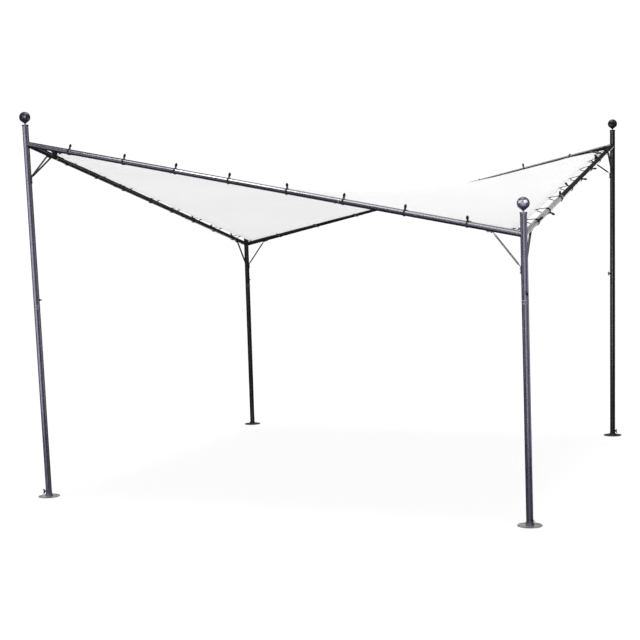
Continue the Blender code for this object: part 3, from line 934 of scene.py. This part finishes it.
def make_corner_hook(corner):
    """An eye bolt in a low post, and a long wire hook from it to the sail's tip."""
    place = tip_frame(corner)
    hole = place @ Vector((TIP_EYELET, 0, 0))
    start = foot_point(corner)
    start.z = hole.z
    inwards = (hole - start).normalized()
    across = UP.cross(inwards)
    reach = (hole - start).length
    bolt = bmesh.new()
    surface = POST_RADIUS + 0.0002
    shank = axes_frame(start, UP, inwards)
    eye = EYE_DISTANCE
    turned(bolt, [(0.0, surface), (0.0115, surface), (0.0118, surface + 0.0006), (0.0112, surface + 0.0016),
                  (0.0, surface + 0.0016)], shank, sides=24)
    nut = surface + 0.0017
    turned(bolt, [(0.0, nut), (0.0070, nut), (0.0078, nut + 0.0010), (0.0078, nut + 0.0050),
                  (0.0070, nut + 0.0060), (0.0, nut + 0.0060)], shank, sides=6)
    turned(bolt, [(0.0, nut + 0.0061), (0.0034, nut + 0.0061), (0.0034, eye - EYE_RADIUS - 0.0010),
                  (0.0, eye - EYE_RADIUS - 0.0010)], shank, sides=14)
    hoop(bolt, start + eye * inwards, inwards, across, EYE_RADIUS, EYE_WIRE, steps=24)
    hook = bmesh.new()
    bend = HOOK_BEND
    near = start + (eye + EYE_RADIUS) * inwards
    far = start + (reach - bend) * inwards
    path = [near + 0.010 * inwards + 0.0088 * UP, near + 0.005 * inwards + 0.0074 * UP]
    path += arc(near, UP, -inwards, bend, 0, 180, 10)
    path += [near.lerp(far, share) + (2 * share - 1) * bend * UP for share in (0.25, 0.5, 0.75)]
    path += arc(far, UP, inwards, bend, 0, 180, 10)
    path += [far - 0.005 * inwards - 0.0072 * UP, far - 0.010 * inwards - 0.0088 * UP]
    sweep(hook, path, round_section(HOOK_WIRE, 10), across)
    pieces = [
        new_piece(f"eye_bolt_{corner}", bolt, finishes["black_steel"]),
        new_piece(f"tip_hook_{corner}", hook, finishes["black_steel"]),
    ]
    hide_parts(f"corner_hook_{corner}")
    return pieces


STAPLE_TURN = 35
STAPLE_RISE = 0.0095
STAPLE_HALF = 0.0175
LINK_HALF_WIDTH = 0.0175
LINK_HALF_LENGTH = 0.0200
LINK_CORNER = 0.0045
TAIL_DROP = {"front_left": 0.004, "back_right": 0.036}
TAIL_HALF = {"front_left": 0.012, "back_right": 0.007}
BUCKLE_WIDTH = 0.034
BUCKLE_HEIGHT = 0.046
BUCKLE_DEPTH = 0.009
EYE_DISTANCE = 0.0440
EYE_RADIUS = 0.0085
EYE_WIRE = 0.0030
HOOK_BEND = 0.0068
HOOK_WIRE = 0.0023


# Hardware

def wing_bolt(cage, place, stem=0.016):
    """A wing bolt along the Z axis of place, from the surface outwards: washer, hub, two wings."""
    hub = [(0.0, -0.002), (0.0032, -0.002), (0.0032, 0.0), (0.0085, 0.0003), (0.0085, 0.0018), (0.0060, 0.0022),
           (0.0062, 0.0040), (0.0050, stem - 0.003), (0.0042, stem - 0.001), (0.0030, stem), (0.0, stem)]
    turned(cage, hub, place, sides=18)
    for turn in (0, 180):
        wing = []
        side = Matrix.Rotation(math.radians(turn), 4, "Z")
        for share in range(9):
            swing = math.radians(-12 + 26 * share)
            wing.append((0.0115 + 0.0068 * math.cos(swing), 0.0125 + 0.0068 * math.sin(swing)))
        outline = [(0.0035, 0.0035), (0.0080, 0.0045), *wing, (0.0035, 0.0125)]
        rings = []
        for y, inset in ((-0.0016, 0.0007), (-0.0010, 0.0), (0.0010, 0.0), (0.0016, 0.0007)):
            middle = Vector((sum(p[0] for p in outline), 0, sum(p[1] for p in outline))) / len(outline)
            ring = []
            for x, z in outline:
                spot = Vector((x, 0, z))
                spot += (middle - spot).normalized() * inset
                ring.append(cage.verts.new(place @ side @ Vector((spot.x, y, spot.z))))
            rings.append(ring)
        skin(cage, rings, [0.0, 0.001, 0.002, 0.003])
        cage.faces.new(rings[0])
        cage.faces.new(rings[-1])


def hex_bolt(cage, place, size=0.0050, height=0.0040):
    """A washer and a hexagon head with a slightly domed top, along the Z axis of place."""
    turned(cage, [(0.0, 0.0), (size * 1.30, 0.0), (size * 1.32, 0.0006), (size * 1.25, 0.0011), (0.0, 0.0011)],
           place, sides=18)
    turned(cage, [(0.0, 0.0011), (size, 0.0011), (size, height - 0.0008), (size * 0.86, height),
                  (size * 0.5, height + 0.0004), (0.0, height + 0.0005)], place, sides=6)


def make_post_hardware(corner):
    """Wing bolts at the foot collar and the post joint, and the lips of the joint."""
    axis = post_axis(corner)
    bolts = bmesh.new()
    heights = (FOOT_BOLT_HEIGHT, LOWER_POST_TOP + JOINT_BOLT_ABOVE)
    for height, (turn, tilt) in zip(heights, BOLT_TURNS[corner]):
        angle = math.radians(turn)
        outwards = Vector((math.cos(angle), math.sin(angle), 0))
        outwards = (outwards - outwards.dot(axis) * axis).normalized()
        centre = foot_point(corner) + axis * (height / axis.z)
        wing_turn = Matrix.Rotation(math.radians(tilt), 4, "Z")
        wing_bolt(bolts, axes_frame(centre + (POST_RADIUS + 0.0001) * outwards, axis, outwards) @ wing_turn)
    lips = bmesh.new()
    seam = foot_point(corner) + axis * (LOWER_POST_TOP / axis.z)
    frame_at_seam = axes_frame(seam, Vector((1, 0, 0)), axis)
    outer = POST_RADIUS + 0.0001
    lip = [(outer, 0.0004), (outer + 0.0007, 0.0006), (outer + 0.0009, 0.0014), (outer + 0.0009, 0.0040),
           (outer + 0.0005, 0.0048), (outer, 0.0050)]
    turned(lips, lip, frame_at_seam, sides=32, closed=True)
    low_lip = [(outer, -0.0034), (outer + 0.0005, -0.0032), (outer + 0.0006, -0.0014), (outer, -0.0010)]
    turned(lips, low_lip, frame_at_seam, sides=32, closed=True)
    bead = [(outer, 0.0155), (outer + 0.0005, 0.0162), (outer + 0.0009, 0.0180), (outer + 0.0009, 0.0205),
            (outer + 0.0005, 0.0223), (outer, 0.0230)]
    turned(lips, bead, frame_at_seam, sides=32, closed=True)
    # The joint lips and bead are in a lighter anthracite: a painted highlight along the joint.
    return [
        new_piece(f"wing_bolts_{corner}", bolts, finishes["black_steel"]),
        new_piece(f"post_joint_lips_{corner}", lips, finishes["paint_highlight"]),
    ]


def make_beam_lips(side):
    """Small lips where the sections of a beam meet, and a locking screw under each."""
    low_end, high_end = BEAM_ENDS[side]
    start = joint_point(low_end)
    direction = beam_direction(side, low_end)
    length = (joint_point(high_end) - start).length
    cage = bmesh.new()
    outer = BEAM_RADIUS + 0.0001
    for index in range(1, BEAM_SECTIONS):
        seam = start + direction * (length * index / BEAM_SECTIONS)
        place = axes_frame(seam, UP, direction)
        lip = [(outer, 0.0004), (outer + 0.0006, 0.0006), (outer + 0.0008, 0.0014), (outer + 0.0008, 0.0036),
               (outer + 0.0004, 0.0044), (outer, 0.0046)]
        turned(cage, lip, place, sides=32, closed=True)
        under = (-UP + UP.dot(direction) * direction).normalized()
        screw_at = seam + 0.032 * direction + (BEAM_RADIUS + 0.0001) * under
        hex_bolt(cage, axes_frame(screw_at, direction, under), size=0.0042, height=0.0034)
    # The lips and locking screws are in a lighter anthracite: a painted highlight at each seam.
    return new_piece(f"beam_joint_lips_{side}", cage, finishes["paint_highlight"])


def make_brace_bolts(corner):
    """Two bolts through each end of the two braces at a corner."""
    cage = bmesh.new()
    level = CORNERS[corner][2]
    joint = joint_point(corner)
    down = -post_axis(corner)
    off = BRACE_GAP + BRACE_THICKNESS
    for side in sides_at(corner):
        along = beam_direction(side, corner)
        from_post = (along - along.dot(down) * down).normalized()
        below_beam = (down - down.dot(along) * along).normalized()
        for share in BRACE_BOLTS:
            on_post = joint + (BRACE_DOWN_POST[level] + share) * down + (POST_RADIUS + off) * from_post
            on_beam = joint + (BRACE_ALONG_BEAM[level] + share) * along + (BEAM_RADIUS + off) * below_beam
            hex_bolt(cage, axes_frame(on_post, down, from_post))
            hex_bolt(cage, axes_frame(on_beam, along, below_beam))
    return new_piece(f"brace_bolts_{corner}", cage, finishes["black_steel"])


BRACE_GAP = 0.0003
BRACE_THICKNESS = 0.003
BRACE_DOWN_POST = {HIGH: 0.242, LOW: 0.198}
BRACE_ALONG_BEAM = {HIGH: 0.258, LOW: 0.192}
BRACE_BOLTS = (0.011, 0.033)
FOOT_BOLT_HEIGHT = 0.040
JOINT_BOLT_ABOVE = 0.062
BOLT_TURNS = {
    "front_left": ((215, 8), (10, 80)),
    "front_right": ((-40, 50), (-52, 14)),
    "back_left": ((100, 30), (80, 30)),
    "back_right": ((-8, 14), (200, 20)),
}
FOLD_SIZE = {HIGH: 0.0042, LOW: 0.0022}
CLOTH_GLOW = 0.38
TOGGLE_TURNS = {
    "front": (92, 96, 90, 94, 98, 92, 88, 95),
    "left": (140, 150, 135, 140, 150, 110, 115, 95),
    "back": (150, 92, 170, 165, 175, 160, 170, 95),
    "right": (90, 70, 190, 185, 50, 90, 205, 132),
}


# Studio

def fill_tones(ramp, tones):
    stops = ramp.color_ramp.elements
    for place, tone in tones:
        stop = stops[0] if place == 0.0 else stops.new(place)
        stop.color = (tone, tone, 1.03 * tone, 1)
    stops[-1].color = stop.color


def make_studio():
    """A white floor and surroundings that carry most of the light."""
    scene = bpy.context.scene
    scene.view_settings.view_transform = "Standard"
    world = bpy.data.worlds.new("studio")
    scene.world = world
    world.use_nodes = True
    tree = world.node_tree
    background = tree.nodes["Background"]
    sky = tree.nodes.new("ShaderNodeTexCoord")
    split = tree.nodes.new("ShaderNodeSeparateXYZ")
    tree.links.new(sky.outputs["Generated"], split.inputs["Vector"])
    ramp = tree.nodes.new("ShaderNodeValToRGB")
    lift = tree.nodes.new("ShaderNodeMapRange")
    lift.inputs["From Min"].default_value = -1.0
    tree.links.new(split.outputs["Z"], lift.inputs["Value"])
    tree.links.new(lift.outputs["Result"], ramp.inputs["Fac"])
    fill_tones(ramp, SKY_TONES)
    mirrored = tree.nodes.new("ShaderNodeValToRGB")
    tree.links.new(lift.outputs["Result"], mirrored.inputs["Fac"])
    fill_tones(mirrored, MIRROR_TONES)
    seen = tree.nodes.new("ShaderNodeLightPath")
    shown = ramp.outputs["Color"]
    for ray, other in (("Is Glossy Ray", mirrored.outputs["Color"]), ("Is Camera Ray", (1.0, 1.0, 1.0, 1.0))):
        choice = tree.nodes.new("ShaderNodeMix")
        choice.data_type = "RGBA"
        tree.links.new(seen.outputs[ray], choice.inputs["Factor"])
        colors = [socket for socket in choice.inputs if socket.type == "RGBA"]
        tree.links.new(shown, colors[0])
        if isinstance(other, tuple):
            colors[1].default_value = other
        else:
            tree.links.new(other, colors[1])
        shown = next(socket for socket in choice.outputs if socket.type == "RGBA")
    tree.links.new(shown, background.inputs["Color"])
    background.inputs["Strength"].default_value = 1.05

    mesh = bpy.data.meshes.new("floor")
    cage = bmesh.new()
    bmesh.ops.create_circle(cage, cap_ends=True, segments=96, radius=120.0)
    cage.to_mesh(mesh)
    cage.free()
    floor = bpy.data.objects.new("floor", mesh)
    floor.location = (0, 0, -0.0006)
    floor.visible_glossy = False
    scene.collection.objects.link(floor)
    n = Nodes("floor")
    n.set(color=(0.46, 0.46, 0.46), rough=0.9, level=0.0)
    n.shader.inputs["Emission Color"].default_value = (1, 1, 1, 1)
    n.shader.inputs["Emission Strength"].default_value = FLOOR_GLOW
    far = n.add("ShaderNodeEmission")
    reach = n.add("ShaderNodeVectorMath", operation="LENGTH")
    n.link(n.place(), reach.inputs[0])
    mix = n.add("ShaderNodeMixShader")
    n.feed(mix.inputs["Fac"], n.span(reach.outputs["Value"], 4.0, 14.0))
    n.link(n.shader.outputs["BSDF"], mix.inputs[1])
    n.link(far.outputs["Emission"], mix.inputs[2])
    n.link(mix.outputs["Shader"], n.output.inputs["Surface"])
    mesh.materials.append(n.material)


FLOOR_GLOW = 0.63
SKY_TONES = ((0.0, 0.05), (0.47, 0.08), (0.53, 0.25), (0.75, 0.60), (0.95, 0.95))
MIRROR_TONES = ((0.0, 0.01), (0.47, 0.02), (0.53, 0.035), (0.75, 0.07), (0.95, 0.30))


def gather(name, starts):
    """A collection of the pieces whose names begin so, for a light that shines on these alone."""
    group = bpy.data.collections.new(name)
    for piece in bpy.context.scene.collection.all_objects:
        if piece.type == "MESH" and piece.name.startswith(starts):
            group.objects.link(piece)
    return group


COOL = (0.79, 0.76, 1.0)
NEAR_METAL = (
    "lower_post_front", "upper_post_front", "post_joint_lips_front",
    "beam_front", "beam_joint_lips_front", "beam_right_low", "brace_front_right", "foot_front",
    "corner_hook_front_right",
)


def make_light(name, place, aim, size, power, color=(1, 1, 1), only=None, round_shape=False):
    data = bpy.data.lights.new(name, "AREA")
    data.shape = "ELLIPSE" if round_shape else "RECTANGLE"
    data.size, data.size_y = size
    data.energy = power
    data.color = color
    light = bpy.data.objects.new(name, data)
    bpy.context.scene.collection.objects.link(light)
    light.location = place
    light.rotation_euler = (Vector(aim) - Vector(place)).to_track_quat("-Z", "Y").to_euler()
    light.visible_camera = False
    if only is not None:
        light.light_linking.receiver_collection = only
    return light


make_camera()
make_studio()
finishes = {
    "paint": powder_coat("anthracite_powder_coat", (0.0095, 0.0091, 0.0120), 0.27, 0.3),
    # A lighter copy of the anthracite paint: a painted highlight for the joint lips and beam screws.
    "paint_highlight": powder_coat("anthracite_edge", (0.070, 0.067, 0.080), 0.28, 0.30),
    "gloss": powder_coat("anthracite_gloss_enamel", (0.012, 0.0115, 0.0150), 0.24, 0.30, worn=0.10),
    "black_steel": worn_black_steel("black_steel"),
    "grey_steel": bare_steel("dull_galvanised_steel", (0.200, 0.200, 0.182), 0.46, painted_above=0.0045),
    "zinc": bare_steel("zinc_plate", (0.55, 0.55, 0.54), 0.34, spangle=220.0),
    "webbing": woven_webbing("black_webbing", (0.018, 0.018, 0.020)),
    "elastic": braided_cord("black_elastic", (0.030, 0.030, 0.032)),
    "plastic": moulded_plastic("black_plastic", (0.016, 0.016, 0.018)),
    "cloth": sailcloth("white_sailcloth", (0.929, 0.929, 0.925)),
}
FINISH = {"foot": "grey_steel", "lower": "paint", "upper": "paint", "finial": "gloss", "brace": "black_steel",
          "corner": "black_steel", "beam": "paint", "canopy": "cloth"}
for name, obj in frame["nodes"].items():
    obj.data.materials.clear()
    obj.data.materials.append(finishes[FINISH[name.split("_")[0]]])

sail = make_sail()
eyelets = make_eyelets()
ties = []
for side_name in BEAM_ENDS:
    ties += make_ties(side_name)
    make_beam_lips(side_name)
for corner_name, (_, _, corner_height) in CORNERS.items():
    make_post_hardware(corner_name)
    make_brace_bolts(corner_name)
    if corner_height == HIGH:
        make_corner_strap(corner_name)
    else:
        make_corner_hook(corner_name)

near_metal = gather("near_metal", NEAR_METAL)
near_posts = gather("near_posts", ("lower_post_front", "upper_post_front"))
near_feet = gather("near_feet", ("foot_front",))
left_metal = gather("left_metal", tuple(start for start in NEAR_METAL if start != "beam_front")
                    + ("beam_front_low", "beam_front_middle"))
front_beam = gather("front_beam", ("beam_front_low", "beam_front_middle", "beam_joint_lips_front"))
near_braces = gather("near_braces", ("brace_front_right", "corner_hook_front_right", "brace_bolts_front_right"))
left_ball = gather("left_ball", ("finial_front_left",))
right_ball = gather("right_ball", ("finial_front_right",))
left_beam = gather("left_beam", ("beam_left",))
back_beam = gather("back_beam", ("beam_back",))
beam_end = gather("beam_end", ("beam_front_high",))
right_far = gather("right_far", ("beam_right_middle", "beam_right_high"))
far_posts = gather("far_posts", ("lower_post_back", "upper_post_back", "foot_back"))
right_low = gather("right_low", ("beam_right_low", "brace_front_right_right", "corner_hook_front_right"))
make_light("overhead", (0.0, 0.0, 9.0), (0, 0, 0), (5.0, 5.0), 305)
make_light("overhead_gleam", (0.3, -4.5, 6.5), (0.3, -1.0, 2.0), (7.4, 1.6), 720, only=near_metal)
make_light("beam_gleam", (-2.6, -4.1, 6.3), (-0.2, -1.8, 2.2), (3.4, 1.7), 620, only=front_beam)
make_light("left_gleam", (-6.5, -7.5, 2.2), (-1.2, -1.5, 1.4), (3.6, 5.5), 590, COOL, only=left_metal)
make_light("beam_end_gleam", (-6.5, -7.5, 2.2), (-1.2, -1.5, 1.4), (3.6, 5.5), 260, COOL, only=beam_end)
make_light("front_gleam", (0.5, -13.0, 1.9), (0.0, -1.5, 1.0), (5.0, 7.0), 1330, COOL, only=near_metal)
make_light("right_gleam", (7.5, -6.5, 1.8), (1.2, -1.5, 1.2), (2.6, 5.5), 300, COOL, only=near_metal)
make_light("post_rim", (8.4, 0.6, 1.8), (0.0, -1.7, 1.2), (6.0, 5.5), 420, COOL, only=near_posts)
make_light("far_gleam", (0.5, -13.0, 2.2), (0.0, 1.5, 1.2), (5.0, 5.5), 420, only=far_posts)
make_light("foot_glow", (-4.6, 9.0, 2.7), (0.0, -1.8, 0.0), (15.0, 2.8), 330, only=near_feet)
make_light("left_ball_glow", (-0.7, -3.9, 3.1), (-1.8, -1.8, 2.8), (2.3, 2.3), 88, COOL, only=left_ball, round_shape=True)
make_light("left_ball_spot", (-0.9, -4.5, 3.7), (-1.8, -1.8, 2.8), (0.8, 0.8), 42, only=left_ball, round_shape=True)
make_light("right_ball_glow", (2.3, -4.4, 2.4), (1.8, -1.8, 2.2), (6.5, 6.5), 720, COOL, only=right_ball, round_shape=True)
make_light("right_ball_left", (-2.6, -4.8, 4.9), (1.8, -1.8, 2.2), (3.6, 3.2), 760, only=right_ball)
make_light("right_ball_right", (6.4, -4.4, 5.6), (1.8, -1.8, 2.2), (5.4, 4.2), 1500, only=right_ball)
make_light("back_top", (-1.5, 1.5, 7.2), (0.6, 1.8, 2.3), (2.2, 5.0), 260, only=back_beam)
make_light("left_rim", (-3.3, 2.6, 0.7), (-1.8, 0.0, 2.2), (2.8, 1.2), 25, only=left_beam)
make_light("brace_glow", (-1.5, -8.0, 0.6), (1.6, -1.8, 1.6), (5.0, 5.0), 620, only=near_braces)
make_light("back_rim", (0.0, 4.6, 0.8), (0.0, 1.8, 2.2), (4.5, 1.0), 60, only=back_beam)
make_light("right_rim", (2.4, 11.0, 2.1), (1.8, 0.0, 2.2), (3.8, 1.3), 50, only=right_far)
make_light("back_panel", (2.0, 11.0, 4.0), (1.8, -1.2, 1.9), (8.0, 8.5), 330, only=right_low)
